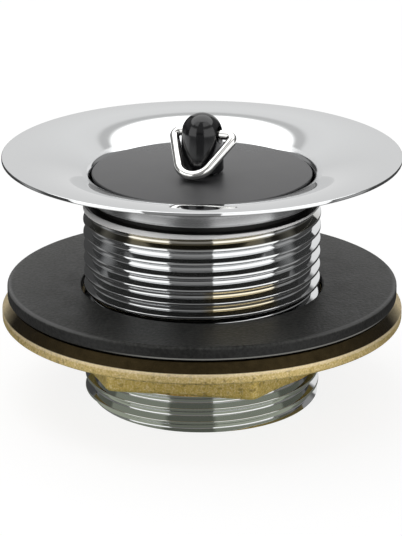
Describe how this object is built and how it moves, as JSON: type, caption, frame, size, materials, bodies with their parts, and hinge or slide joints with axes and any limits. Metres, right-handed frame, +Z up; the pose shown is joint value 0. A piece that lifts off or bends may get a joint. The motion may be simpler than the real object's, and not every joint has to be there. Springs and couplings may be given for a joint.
{
  "type": "basin waste with plug",
  "caption": "Flanged basin waste with a threaded tail, rubber sealing washer, hexagon backnut, and a tapered plug lifted by a hinged wire ring.",
  "frame": {"origin": "bottom centre of the threaded tail, on the surface that the part stands on", "axes": "+Z up the drain's axis towards the flange and plug; -Y is the side that the picture shows"},
  "size_m": [0.071, 0.071, 0.0516],
  "materials": {
    "chrome_plate": "polished chrome plate on brass",
    "washer_rubber": "matt moulded rubber",
    "cast_brass": "as cast, slightly rough",
    "plug_rubber": "satin moulded rubber",
    "gloss_black": "polished black plastic",
    "bare_steel": "plain stainless",
    "wire_chrome": "bright chromed wire"
  },
  "bodies": {
    "waste": {"waste_body": "chrome_plate"},
    "washer": {"sealing_washer": "washer_rubber"},
    "nut": {"backnut": "cast_brass"},
    "plug": {"plug_disc": "plug_rubber", "plug_knob": "gloss_black", "plug_retainer": "bare_steel"},
    "ring": {"lifting_ring": "wire_chrome"}
  },
  "joints": [
    {"name": "plug_lift", "type": "slide", "parent": "waste", "child": "plug", "axis": [0, 0, 1], "range_m": [0, 0.03]},
    {"name": "ring_swing", "type": "hinge", "parent": "plug", "child": "ring", "pos_m": [0, 0, 0.048], "axis": [-0.9304, 0.3665, 0], "range_deg": [0, 264]},
    {"name": "washer_slide", "type": "slide", "parent": "waste", "child": "washer", "axis": [0, 0, 1], "range_m": [-0.007, 0.0151]},
    {"name": "backnut_turn", "type": "hinge", "parent": "washer", "child": "nut", "pos_m": [0, 0, 0.0125], "axis": [0, 0, 1], "range_deg": [-1080, 2340]}
  ],
  "couplings": [
    {"joint": "washer_slide", "follows": "backnut_turn", "m_per_rad": 0.00036749}
  ]
}
